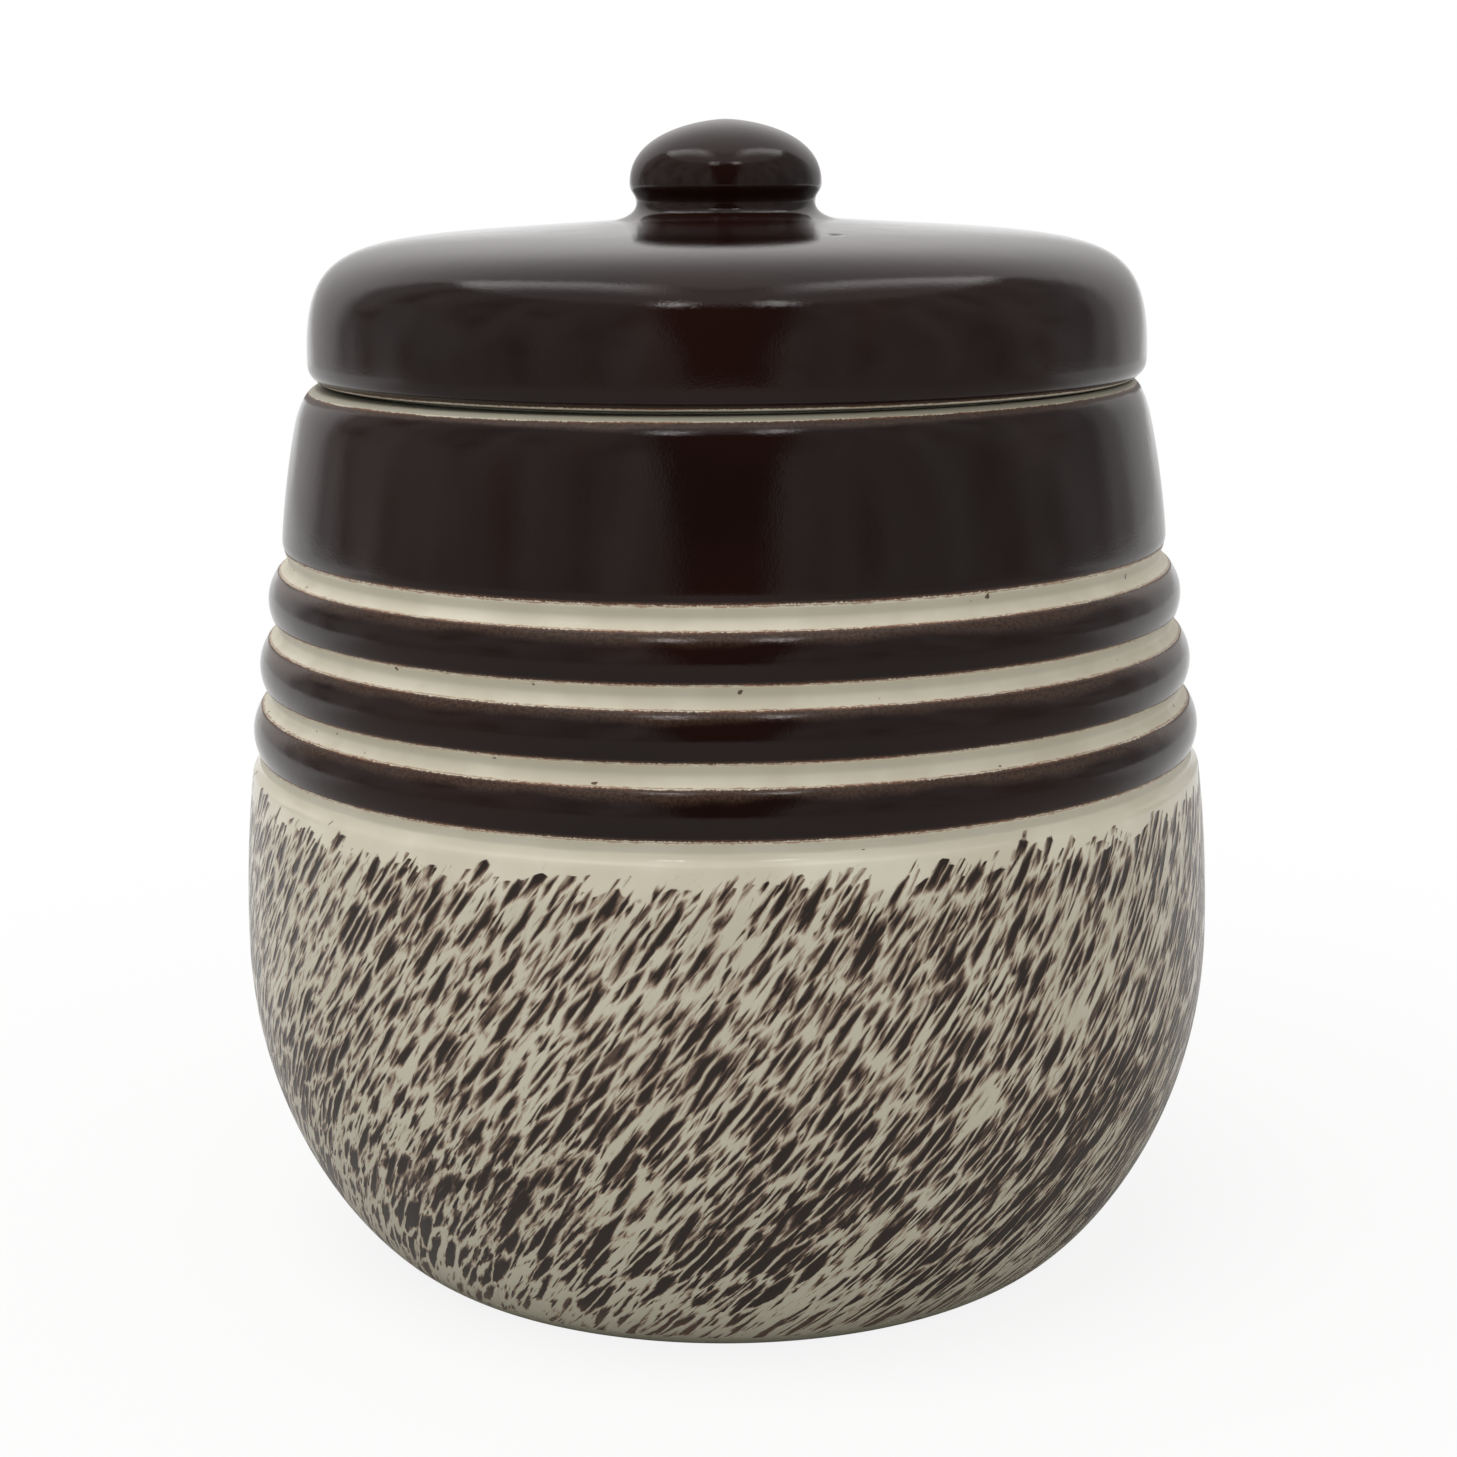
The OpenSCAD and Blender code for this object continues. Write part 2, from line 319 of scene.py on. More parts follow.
# The knob, from its fillet up to its top
neck = vec(NECK_R, CROWN_Z + NECK_H)
knob_belly = vec(KNOB_R, CROWN_Z + KNOB_BELLY_H)
knob_top = vec(0, CROWN_Z + KNOB_H)
fillet_path = bezier(crown, vec(lerp(NECK_R, CROWN_R, 0.45), CROWN_Z + 0.055 * (CROWN_R - NECK_R)),
                     vec(NECK_R, lerp(CROWN_Z, neck[1], 0.45)), neck, FILLET_STEPS)
knob_under_z = lerp(neck[1], knob_belly[1], 0.5)
knob_under_path = bezier(neck, vec(NECK_R, knob_under_z), vec(KNOB_R, knob_under_z), knob_belly,
                         KNOB_UNDER_STEPS)
knob_over_path = bezier(knob_belly, vec(KNOB_R, lerp(knob_belly[1], knob_top[1], 0.84)),
                        vec(KNOB_R * 0.2, knob_top[1]), knob_top, KNOB_OVER_STEPS)
lid_path = join(dome_path, fillet_path, knob_under_path, knob_over_path)
lid_clay_path = to_axis(inset(lid_path, COAT_T))
crown_place = len(dome_path) - 1

# The flange and the hollow under the lid
FLANGE_R = MOUTH_R - FLANGE_GAP
FLANGE_LOW_Z = POT_H - FLANGE_H
HOLLOW_R = FLANGE_R - FLANGE_T
HOLLOW_TOP_Z = CROWN_Z - LID_T
hollow_path = bezier(vec(HOLLOW_R, POT_H), vec(HOLLOW_R, lerp(POT_H, HOLLOW_TOP_Z, 0.8)),
                     vec(HOLLOW_R * 0.75, HOLLOW_TOP_Z), vec(0, HOLLOW_TOP_Z), INSIDE_STEPS)


# Meshes

def settled(places):
    """The places of the loose lid's points, moved aside as it lies in the mouth."""
    return np.array(places) + np.array([LID_ASIDE * MM, 0, 0])


def pitted(places):
    """The places of the lid's coat, with the small pit in its glaze."""
    places = settled(places)
    away = np.hypot(places[:, 0] / MM - PIT_X, places[:, 1] / MM - PIT_Y)
    places[:, 2] -= PIT_D * MM * np.exp(-(away / PIT_R) ** 2)
    return places


def uneven(places):
    """The places of the pot's points, with its lip a little higher on one side."""
    places = np.array(places)
    radii = np.hypot(places[:, 0], places[:, 1]) / MM
    outer = np.clip((radii - LID_SEAT_R - RISE_OUTSIDE) / RISE_W, 0, 1)
    upper = np.clip((places[:, 2] / MM - POT_H + RISE_BELOW) / RISE_H, 0, 1)
    share = outer * upper ** 2 * (3 - 2 * upper)
    places[:, 2] += LIP_RISE * share * places[:, 0] / COLLAR_TOP_R
    return places


def turned(name, loop, turn, body, node, material, fields=None, flow=None, shift=None):
    """A closed loop of points turned round the axis into one smooth mesh.

    fields gives one number for each point of the loop, kept on the mesh under its own name.
    flow gives each point's run and lag: its place along the streaks and how far they lean there.
    """
    angles = np.arange(turn) * 2 * math.pi / turn
    places = []
    rings = []
    owner = []
    angle_of = []
    for i, (radius, height) in enumerate(loop):
        if radius < 1e-6:
            rings.append([len(places)])
            places.append((0, 0, height * MM))
            owner.append(i)
            angle_of.append(0)
        else:
            rings.append(list(range(len(places), len(places) + turn)))
            places.extend((radius * math.cos(a) * MM, radius * math.sin(a) * MM, height * MM)
                          for a in angles)
            owner.extend([i] * turn)
            angle_of.extend(angles)
    faces = []
    for i, ring in enumerate(rings):
        upper = rings[(i + 1) % len(rings)]
        if len(ring) == 1 and len(upper) == 1:
            continue
        for j in range(turn):
            k = (j + 1) % turn
            if len(ring) == 1:
                faces.append((ring[0], upper[k], upper[j]))
            elif len(upper) == 1:
                faces.append((ring[j], ring[k], upper[0]))
            else:
                faces.append((ring[j], ring[k], upper[k], upper[j]))
    if shift is not None:
        places = shift(places)
    mesh = bpy.data.meshes.new(name)
    mesh.from_pydata(places, [], faces)
    mesh.update()
    mesh.polygons.foreach_set("use_smooth", [True] * len(mesh.polygons))
    mesh.set_sharp_from_angle(angle=math.radians(SMOOTH_ANGLE))
    owner = np.array(owner)
    for field, values in (fields or {}).items():
        layer = mesh.attributes.new(field, "FLOAT", "POINT")
        layer.data.foreach_set("value", np.asarray(values, np.float32)[owner])
    if flow is not None:
        runs, lags = flow
        lean = np.array(angle_of) - np.asarray(lags)[owner]
        vectors = np.column_stack([BELLY_R * np.cos(lean), BELLY_R * np.sin(lean),
                                   np.asarray(runs)[owner]])
        layer = mesh.attributes.new("flow", "FLOAT_VECTOR", "POINT")
        layer.data.foreach_set("vector", vectors.astype(np.float32).ravel())
    mesh.materials.append(material)
    piece = bpy.data.objects.new(name, mesh)
    bpy.context.scene.collection.objects.link(piece)
    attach(piece, body)
    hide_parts(node)
    return piece


def coat(name, outer, body, node, material, flow=None, turn=FINE_TURN, shift=None):
    """A coat of glaze between its outer path and the clay.

    It keeps how far each point is from its lower and its upper edge. A coat that ends on the
    axis has no upper edge. flow gives each point's lag, as in turned.
    """
    inner = inset(outer, COAT_T)
    run = run_lengths(outer)
    from_low = np.concatenate([run, run[::-1]])
    from_top = run[-1] - from_low
    if outer[-1, 0] < 1e-6:
        inner = to_axis(inner)
        from_top = from_top + NO_EDGE
    inner = inner[::-1]
    if flow is not None:
        flow = (from_low, np.concatenate([flow, flow[::-1]]))
    return turned(name, np.vstack([outer, inner]), turn, body, node, material,
                  {"from_low": from_low, "from_top": from_top}, flow, shift)


# Material nodes

class Tree:
    """Short calls for a material's or world's nodes."""

    def __init__(self, tree):
        self.tree = tree
        tree.nodes.clear()

    def put(self, target, value):
        """Gives a socket its value, or links it where the value is another node's output."""
        if isinstance(value, bpy.types.NodeSocket):
            self.tree.links.new(value, target)
        else:
            target.default_value = value

    def add(self, kind, inputs=None, **settings):
        """A new node with its settings and inputs."""
        node = self.tree.nodes.new(kind)
        for name, value in settings.items():
            setattr(node, name, value)
        for name, value in (inputs or {}).items():
            self.put(node.inputs[name], value)
        return node

    def field(self, name):
        return self.add("ShaderNodeAttribute", attribute_name=name).outputs["Fac"]

    def vector_field(self, name):
        return self.add("ShaderNodeAttribute", attribute_name=name).outputs["Vector"]

    def place(self):
        return self.add("ShaderNodeTexCoord").outputs["Object"]

    def parts(self, vector):
        """A vector's X, Y and Z, by name."""
        return self.add("ShaderNodeSeparateXYZ", {"Vector": vector}).outputs

    def vectors(self, operation, a, b):
        return self.add("ShaderNodeVectorMath", {0: a, 1: b}, operation=operation).outputs[0]

    def math(self, operation, a, b=0.0, clamp=False):
        node = self.add("ShaderNodeMath", {0: a, 1: b}, operation=operation, use_clamp=clamp)
        return node.outputs[0]

    def plus(self, a, b):
        return self.math("ADD", a, b)

    def minus(self, a, b):
        return self.math("SUBTRACT", a, b)

    def times(self, a, b):
        return self.math("MULTIPLY", a, b)

    def over(self, a, b):
        return self.math("DIVIDE", a, b)

    def larger(self, a, b):
        return self.math("MAXIMUM", a, b)

    def size(self, a):
        return self.math("ABSOLUTE", a)

    def noise(self, vector, scale, detail, rough=0.5, warp=0.0):
        inputs = {"Vector": vector, "Scale": scale, "Detail": detail,
                  "Roughness": rough, "Distortion": warp}
        return self.add("ShaderNodeTexNoise", inputs).outputs["Fac"]

    def strokes(self, vector, scale, missing):
        """How deep a point lies inside its stroke, in widths of a stroke, with sizes that differ.

        missing is the share of the strokes that are left out there.
        """
        reach = 0.7 / scale
        inputs = {"Vector": vector, "Scale": scale * 1.3, "Detail": 3.0}
        waver = self.add("ShaderNodeTexNoise", inputs)
        moved = self.vectors("SUBTRACT", waver.outputs["Color"], (0.5, 0.5, 0.5))
        moved = self.vectors("MULTIPLY", moved, (reach, reach, reach))
        moved = self.vectors("ADD", moved, vector)
        cells = {"Vector": moved, "Scale": scale}
        cell = self.add("ShaderNodeTexVoronoi", cells, feature="F1")
        edge = self.add("ShaderNodeTexVoronoi", cells, feature="DISTANCE_TO_EDGE")
        picks = self.parts(cell.outputs["Color"])
        smaller = self.span(picks["X"], 0.3, 1.0, 0.0, 0.16, smooth=False)
        depth = self.minus(edge.outputs["Distance"], smaller)
        left_out = self.span(self.plus(picks["Y"], missing), 0.97, 1.07, 0.0, 0.5, smooth=False)
        return self.minus(depth, left_out)

    def span(self, value, low, high, to_low=0.0, to_high=1.0, smooth=True):
        """value between low and high, mapped to another range and held inside it."""
        kind = "SMOOTHSTEP" if smooth else "LINEAR"
        inputs = {"Value": value, "From Min": low, "From Max": high,
                  "To Min": to_low, "To Max": to_high}
        return self.add("ShaderNodeMapRange", inputs, interpolation_type=kind).outputs["Result"]

    def fall(self, value, low, high):
        """1 up to low, and 0 from high on."""
        return self.span(value, low, high, 1.0, 0.0)

    def mix(self, share, a, b):
        """The colour a where share is 0, b where it is 1."""
        return self.add("ShaderNodeMix", {0: share, 6: a, 7: b}, data_type="RGBA").outputs[2]

    def blend(self, share, a, b):
        """The number a where share is 0, b where it is 1."""
        return self.add("ShaderNodeMix", {0: share, 2: a, 3: b}).outputs[0]

    def ramp(self, value, stops):
        """A colour for each value, from stops of a value and its colour."""
        node = self.add("ShaderNodeValToRGB", {"Fac": value})
        elements = node.color_ramp.elements
        while len(elements) < len(stops):
            elements.new(0.5)
        for element, (position, shade) in zip(elements, stops):
            element.position = position
            element.color = shade
        return node.outputs["Color"]

    def bump(self, height, strength, distance, normal=None):
        """A normal tilted by height, distance in metres, over another normal where one is given."""
        inputs = {"Height": height, "Strength": strength, "Distance": distance}
        if normal is not None:
            inputs["Normal"] = normal
        return self.add("ShaderNodeBump", inputs).outputs["Normal"]


def colour(red, green, blue):
    """A colour given in the 0 to 255 values of a screen, as the linear one that nodes take."""
    def linear(value):
        share = value / 255
        return share / 12.92 if share <= 0.04045 else ((share + 0.055) / 1.055) ** 2.4
    return (linear(red), linear(green), linear(blue), 1.0)


def surface(name):
    """A new material with its tree and its principled shader."""
    material = bpy.data.materials.new(name)
    material.use_nodes = True
    tree = Tree(material.node_tree)
    shader = tree.add("ShaderNodeBsdfPrincipled")
    tree.add("ShaderNodeOutputMaterial", {"Surface": shader.outputs["BSDF"]})
    return material, tree, shader


CREAM = colour(205, 198, 178)
CREAM_LIGHT = colour(216, 210, 192)
CREAM_GREY = colour(172, 168, 150)
BROWN = colour(25, 12, 10)
BROWN_WARM = colour(31, 14, 10)
BROWN_THIN_AND_SHEEN = colour(92, 72, 60)
EDGE_WARM = colour(142, 92, 62)
STREAK_AND_SHADOW_DARK = colour(36, 25, 18)
STREAK_MID = colour(92, 72, 60)
STREAK_PALE = colour(165, 149, 130)

# How deep the unevenness of glaze, of its thin edges and of bare clay goes, in metres
GLAZE_DEPTH = 0.0002
GRAIN_DEPTH = 0.00008
GRIT_DEPTH = 0.00006


def brown_glaze():
    """Glossy dark brown, matt and lighter near its edges, where it thins over the cream clay; on
    the ribs the lighter band is widened as a painted reflection.
    """
    material, tree, shader = surface("brown_glaze")
    place = tree.place()
    from_low = tree.field("from_low")
    from_top = tree.field("from_top")

    # The ragged edge, where clay shows through, and the rusty line along it
    ragged = tree.noise(place, scale=4200, detail=3, rough=0.65)
    wave = tree.noise(place, scale=160, detail=2)
    torn = tree.plus(tree.math("MINIMUM", from_low, from_top),
                     tree.span(ragged, 0.3, 0.7, -0.14, 0.08, smooth=False))
    torn = tree.plus(torn, tree.span(wave, 0.3, 0.7, -0.06, 0.06, smooth=False))
    bare = tree.fall(torn, 0.0, 0.07)
    rusty = tree.times(tree.fall(torn, 0.05, 0.3), tree.span(wave, 0.4, 0.6, 0.15, 0.6))

    # Near its top edge the coat is matt, and thin and lighter a little further. On the narrow ribs
    # the matt part is narrower than on the wide coats, and the lighter part is wider: there it is a
    # painted reflection of soft light on the ribs' upper sides, as well as thin glaze.
    band = tree.plus(from_low, from_top)
    patch = tree.noise(place, scale=70, detail=3, rough=0.6)
    patch = tree.span(patch, 0.35, 0.65, 0.75, 1.35, smooth=False)
    from_edge = tree.over(from_top, patch)
    low_edge = tree.fall(from_low, 0.1, 0.5)
    matt_edge = tree.over(from_edge, tree.span(band, 6, 15, 0.45, 1.0))
    matt = tree.larger(low_edge, tree.fall(matt_edge, 0.3, 1.0))
    thin_and_sheen_edge = tree.over(from_edge, tree.span(band, 6, 15, 1.6, 1.0))
    thin_and_sheen = tree.larger(low_edge, tree.fall(thin_and_sheen_edge, 0.3, 1.0))

    pool = tree.noise(place, scale=45, detail=3)
    base = tree.mix(tree.span(pool, 0.35, 0.65), BROWN, BROWN_WARM)
    speck = tree.span(tree.noise(place, scale=3600, detail=3, rough=0.7), 0.35, 0.65, 0.0, 0.65)
    thin_and_sheen_colour = tree.mix(speck, BROWN_THIN_AND_SHEEN, BROWN)
    # Lighter brown where the glaze is thin, and on the ribs also as painted reflection
    shade = tree.mix(tree.times(thin_and_sheen, 0.65), base, thin_and_sheen_colour)
    shade = tree.mix(rusty, shade, EDGE_WARM)
    shade = tree.mix(bare, shade, CREAM)
    tree.put(shader.inputs["Base Color"], shade)
    tree.put(shader.inputs["Roughness"], tree.span(matt, 0, 1, 0.035, 0.46))
    skin = tree.bump(tree.noise(place, scale=260, detail=3, rough=0.55), 0.14, GLAZE_DEPTH)
    tree.put(shader.inputs["Normal"], tree.bump(ragged, 0.15, GRAIN_DEPTH, skin))
    shader.inputs["IOR"].default_value = 1.42
    return material


def streaked_glaze():
    """Satin cream with short slanting dark streaks that follow the flow of the glaze.

    Distances from the coat's edges are in millimetres, and so is the flow that strokes are laid in.
    """
    material, tree, shader = surface("streaked_glaze")
    flow = tree.vector_field("flow")
    place = tree.place()
    from_top = tree.field("from_top")
    from_low = tree.field("from_low")

    # Strokes of two sizes, fewer of them near the uneven line where the streaks start
    uneven_line = tree.noise(flow, scale=0.24, detail=2)
    start = tree.plus(from_top, tree.span(uneven_line, 0.3, 0.7, -0.8, 0.8, smooth=False))
    missing = tree.span(start, 0.6, 4.2, 1.0, 0.03)
    slim = tree.vectors("MULTIPLY", flow, (0.84, 0.84, 0.22))
    upper = tree.strokes(slim, 1.0, missing)
    lower = tree.strokes(slim, 0.78, missing)
    large = tree.blend(tree.span(from_low, 12.0, 26.0), lower, upper)
    small = tree.strokes(slim, 1.8, tree.plus(missing, 0.25))

    # The margin that a stroke loses all round: more near the start, less in clouds, on one side
    # and low on the belly, with frayed ends
    margin = tree.span(start, 1.0, 4.0, 0.16, 0.105)
    cloud = tree.noise(tree.vectors("MULTIPLY", flow, (1.0, 1.0, 0.8)), scale=0.085, detail=2)
    margin = tree.plus(margin, tree.span(cloud, 0.3, 0.7, 0.03, -0.03, smooth=False))
    side = tree.parts(place)["X"]
    margin = tree.plus(margin, tree.span(side, -0.03, 0.04, 0.01, -0.015))
    lower_down = tree.times(tree.span(from_low, 3.0, 14.0), tree.fall(from_low, 16.0, 42.0))
    margin = tree.minus(margin, tree.times(lower_down, 0.05))
    fine = tree.vectors("MULTIPLY", flow, (1.0, 1.0, 0.3))
    fine = tree.noise(fine, scale=1.9, detail=3, rough=0.6, warp=0.3)
    fray = tree.times(tree.span(fine, 0.25, 0.75, -0.06, 0.06, smooth=False),
                      tree.span(from_low, 10.0, 36.0, 1.5, 1.0))
    margin = tree.plus(margin, fray)

    large_mark = tree.minus(large, margin)
    small_mark = tree.minus(small, tree.span(from_low, 6.0, 30.0, 0.16, 0.09))
    small_mark = tree.minus(small_mark, margin)
    mark = tree.larger(large_mark, small_mark)
    mark = tree.times(mark, tree.span(from_low, 8.0, 36.0, 1.9, 1.0))
    streak = tree.span(mark, -0.14, 0.15, smooth=False)
    streak = tree.times(streak, tree.span(from_low, 0.0, 8.0, 0.6, 1.0))

    # The cream between the streaks, greyer below the bare band
    tone = tree.noise(place, scale=90, detail=3, rough=0.55)
    cream = tree.mix(tree.span(tone, 0.35, 0.7), CREAM, CREAM_LIGHT)
    greyer = tree.times(tree.span(start, 2.5, 6.0), tree.span(from_low, 12.0, 34.0, 0.75, 0.42))
    cream = tree.mix(greyer, cream, CREAM_GREY)
    shade = tree.ramp(streak, [(0.0, CREAM), (0.35, STREAK_PALE), (0.6, STREAK_MID),
                               (0.95, STREAK_AND_SHADOW_DARK)])
    shade = tree.mix(tree.span(streak, 0.0, 0.3), cream, shade)
    tree.put(shader.inputs["Base Color"], shade)
    tree.put(shader.inputs["Roughness"], tree.span(streak, 0, 1, 0.13, 0.22))
    relief = tree.bump(tree.minus(1.0, streak), 0.7, GLAZE_DEPTH)
    skin = tree.noise(place, scale=260, detail=2)
    tree.put(shader.inputs["Normal"], tree.bump(skin, 0.15, GLAZE_DEPTH, relief))
    shader.inputs["IOR"].default_value = 1.5
    return material


def bare_clay():
    """Cream stoneware, matt, with a few dark specks and stains, painted greyer as shade and painted
    dark as shadow by its fields.
    """
    material, tree, shader = surface("clay")
    place = tree.place()
    tone = tree.noise(place, scale=120, detail=3, rough=0.6)
    base = tree.mix(tree.span(tone, 0.35, 0.65), CREAM, CREAM_LIGHT)
    # Painted shade: greyer in the upper part of each groove, on the shoulder, the foot, the lip and
    # the rim
    base = tree.mix(tree.times(tree.field("shade"), 0.85), base, CREAM_GREY)
    speck = tree.noise(place, scale=900, detail=1)
    base = tree.mix(tree.span(speck, 0.76, 0.79), base, STREAK_MID)
    stain = tree.noise(place, scale=1300, detail=3, rough=0.6)
    stain = tree.span(stain, 0.25, 0.75, 0.0, 1.0, smooth=False)
    bleed = tree.minus(tree.field("bleed"), stain)
    base = tree.mix(tree.span(bleed, 0.0, 0.3, 0.0, 0.7), base, EDGE_WARM)
    # Painted shadow: darkest in the slit over the rim, less on the rim under the lid's edge, the
    # foot and the lip
    base = tree.mix(tree.field("painted_shadow"), base, STREAK_AND_SHADOW_DARK)
    tree.put(shader.inputs["Base Color"], base)
    shader.inputs["Roughness"].default_value = 0.5
    grit = tree.noise(place, scale=1100, detail=3, rough=0.6)
    tree.put(shader.inputs["Normal"], tree.bump(grit, 0.2, GRIT_DEPTH))
    return material


def lining_glaze():
    """Glossy cream glaze inside the pot and under the lid, with a few pale brown specks."""
    material, tree, shader = surface("lining_glaze")
    place = tree.place()
    tone = tree.noise(place, scale=60, detail=3, rough=0.55)
    base = tree.mix(tree.span(tone, 0.35, 0.65), CREAM, CREAM_LIGHT)
    speck = tree.noise(place, scale=700, detail=1)
    base = tree.mix(tree.span(speck, 0.75, 0.79), base, STREAK_PALE)
    tree.put(shader.inputs["Base Color"], base)
    shader.inputs["Roughness"].default_value = 0.14
    skin = tree.noise(place, scale=180, detail=2)
    tree.put(shader.inputs["Normal"], tree.bump(skin, 0.15, GLAZE_DEPTH))
    return material


brown = brown_glaze()
streaked = streaked_glaze()
clay = bare_clay()
lining = lining_glaze()


# Pieces of the pot

# How much the streaks lean low on the belly and high on it, and how fast that changes
LEAN_LOW = 0.82
LEAN_HIGH = 0.66
LEAN_CHANGE = 1.15

# How wide the stain beside a brown edge is, and how far the clay's corners are rounded
STAIN_W = 0.3
RECESS_ROUND = 0.6
FOOT_ROUND = 0.4
MOUTH_ROUND = 0.6
FLANGE_ROUND = 0.8
SEAT_ROUND = 0.1
SLIT_ROUND = 0.12

# How much of the rim beside the lid's seat is painted dark as the shadow under the lid, and its
# steps
RIM_SHADOW_W = 1.5
RIM_STEPS = 5


def streak_lag(path):
    """How far the streaks have turned round the pot at each point: they lean more near the foot."""
    run = run_lengths(path)
    share = run / run[-1]
    lean = lerp(LEAN_LOW, LEAN_HIGH, np.clip(share * LEAN_CHANGE, 0, 1))
    step = np.concatenate([[0], np.diff(run)])
    return np.cumsum(lean * step) / BELLY_R


coat("belly_coat", belly_path, "pot", "belly_glaze", streaked,
     streak_lag(belly_path))
for place_name, path in zip(("low", "mid", "top"), rib_paths):
    coat("rib_coat_" + place_name, path, "pot", "rib_glaze_" + place_name, brown)
coat("collar_coat", collar_path, "pot", "collar_glaze", brown, shift=uneven)

recess_end = vec(FOOT_R - FOOT_FLAT_W - FOOT_RECESS_H, FOOT_RECESS_H)
flat_start = vec(FOOT_R - FOOT_FLAT_W, 0)
foot_end = foot_path[0]
base_path = join(vec(0, FOOT_RECESS_H),
                 soften(vec(0, FOOT_RECESS_H), recess_end, flat_start, RECESS_ROUND),
                 soften(recess_end, flat_start, foot_end, FOOT_ROUND))
mouth_path = soften(vec(MOUTH_R + 1, POT_H), vec(MOUTH_R, POT_H), vec(MOUTH_R, LAND_LOW_Z),
                    MOUTH_ROUND)
rim_radii = np.linspace(LID_SEAT_R + RIM_SHADOW_W, LID_SEAT_R, RIM_STEPS)
rim_path = np.array([vec(r, POT_H) for r in rim_radii])

# The foot and the lip get painted shade, and the rim beside the lid's seat painted shadow
clay_parts = [(base_path, "plain"), (foot_path, "worn"), (lower_path[:1], "worn"),
              (inset(belly_path, COAT_T), "plain"), (shoulder_bare, "shoulder")]
for i in range(RIB_COUNT):
    clay_parts.append((inset(rib_paths[i], COAT_T), "plain"))
    clay_parts.append((groove_paths[i], "groove"))
clay_parts.append((inset(collar_path, COAT_T), "plain"))
clay_parts.append((lip_path, "worn"))
clay_parts.append((rim_path, "rim"))
clay_parts.append((mouth_path, "plain"))
clay_parts.append((cavity_path[::-1], "plain"))


def clay_loop(parts):
    """The loop of the clay's parts, with each point's painted shade, stain and painted shadow.

    A groove is painted greyer above its ridge as shade, and stained along its brown edges. The
    shoulder is the bare clay above the belly's coat, painted greyer in its middle as shade. The
    foot and the lip are painted grey and darker as shade, the rim under the lid's edge gets painted
    shadow, and the slit over the rim is painted dark as shadow.
    """
    points = []
    fields = {"shade": [], "bleed": [], "painted_shadow": []}
    for path, kind in parts:
        run = run_lengths(path)
        for i, point in enumerate(path):
            if points and np.linalg.norm(point - points[-1]) < 1e-6:
                continue
            points.append(point)
            share = run[i] / run[-1] if run[-1] > 0 else 0
            # Painted shade in the grooves and on the shoulder, greyest where the clay above shades
            # them
            shade_profiles = {"groove": np.interp(share, [0.45, 0.6, 0.88, 0.95], [0, 0.65, 0.65, 0.1]),
                     "shoulder": np.interp(share, [0.0, 0.2, 0.75, 0.9], [0.2, 0.7, 0.7, 0.2])}
            to_edge = run[-1] - run[i] if kind == "shoulder" else min(run[i], run[-1] - run[i])
            fields["shade"].append(1.0 if kind in ("worn", "rim") else shade_profiles.get(kind, 0.0))
            fields["bleed"].append(max(0.0, 1 - to_edge / STAIN_W) if kind in shade_profiles else 0.0)
            fields["painted_shadow"].append({"worn": 0.15, "rim": 0.3, "sooty": 1.0}.get(kind, 0.0))
    return np.array(points), fields


pot_loop, pot_fields = clay_loop(clay_parts)
turned("pot_clay", pot_loop, FINE_TURN, "pot", "pot_body", clay, pot_fields, shift=uneven)

pot_inner = inset(cavity_path, COAT_T)
pot_inner[0, 0] = 0
turned("pot_inside", np.vstack([pot_inner, cavity_path[::-1]]), PLAIN_TURN, "pot", "pot_lining",
       lining)


# Pieces of the lid

coat("lid_coat", lid_path, "lid", "lid_glaze", brown, shift=pitted)

hollow_rim = vec(HOLLOW_R, FLANGE_LOW_Z)
flange_rim = vec(FLANGE_R, FLANGE_LOW_Z)
flange_root = vec(FLANGE_R, POT_H)
seat_end = vec(LID_SEAT_R, POT_H)
slit_root = vec(LID_SEAT_R, POT_H + SLIT_H)
slit_end = vec(lerp(LID_SEAT_R, lid_edge[0], 0.8), POT_H + SLIT_H)
flange_path = join(
    soften(hollow_path[0], hollow_rim, flange_rim, FLANGE_ROUND),
    soften(hollow_rim, flange_rim, flange_root, FLANGE_ROUND),
    flange_root,
    soften(flange_root, seat_end, slit_root, SEAT_ROUND, steps=4))
slit_path = join(slit_root, soften(slit_root, slit_end, lid_edge, SLIT_ROUND))
shell_path = join(lid_edge, lid_clay_path[:crown_place + 1])
knob_foot = vec(0, lid_clay_path[crown_place][1])
lid_loop, lid_fields = clay_loop([(flange_path, "plain"), (slit_path, "sooty"),
                                  (shell_path, "plain"), (knob_foot[None, :], "plain"),
                                  (hollow_path[::-1], "plain")])
turned("lid_clay", lid_loop, FINE_TURN, "lid", "lid_body", clay, lid_fields, shift=settled)

hollow_inner = to_axis(inset(hollow_path, COAT_T))
turned("lid_inside", np.vstack([hollow_path, hollow_inner[::-1]]), PLAIN_TURN, "lid", "lid_lining",
       lining, shift=settled)

knob_loop = np.vstack([knob_foot[None, :], lid_clay_path[crown_place:]])
knob_fields = {name: np.zeros(len(knob_loop)) for name in lid_fields}
turned("knob_clay", knob_loop, PLAIN_TURN, "lid", "lid_knob", clay, knob_fields,
       shift=settled)


# Floor, tent and light

FLOOR_REACH = 4.0
FLOOR_PALE = (0.86, 0.86, 0.85, 1)
FLOOR_MIRRORED_SHADE = (0.45, 0.44, 0.43, 1)
WHITE = (1, 1, 1, 1)
TENT_WHITE = (1.0, 0.98, 0.97, 1)
SKY_WHITE = (1.0, 0.99, 0.97, 1)
SKY_LIGHT = 0.62

# The tent is part of a ball round a point over the floor, with its rings counted from in front
TENT_R = 1.1
TENT_Z = 0.08
TENT_TILT = 35
TENT_SPREAD = 138
TENT_RINGS = 24
TENT_TURNS = 64


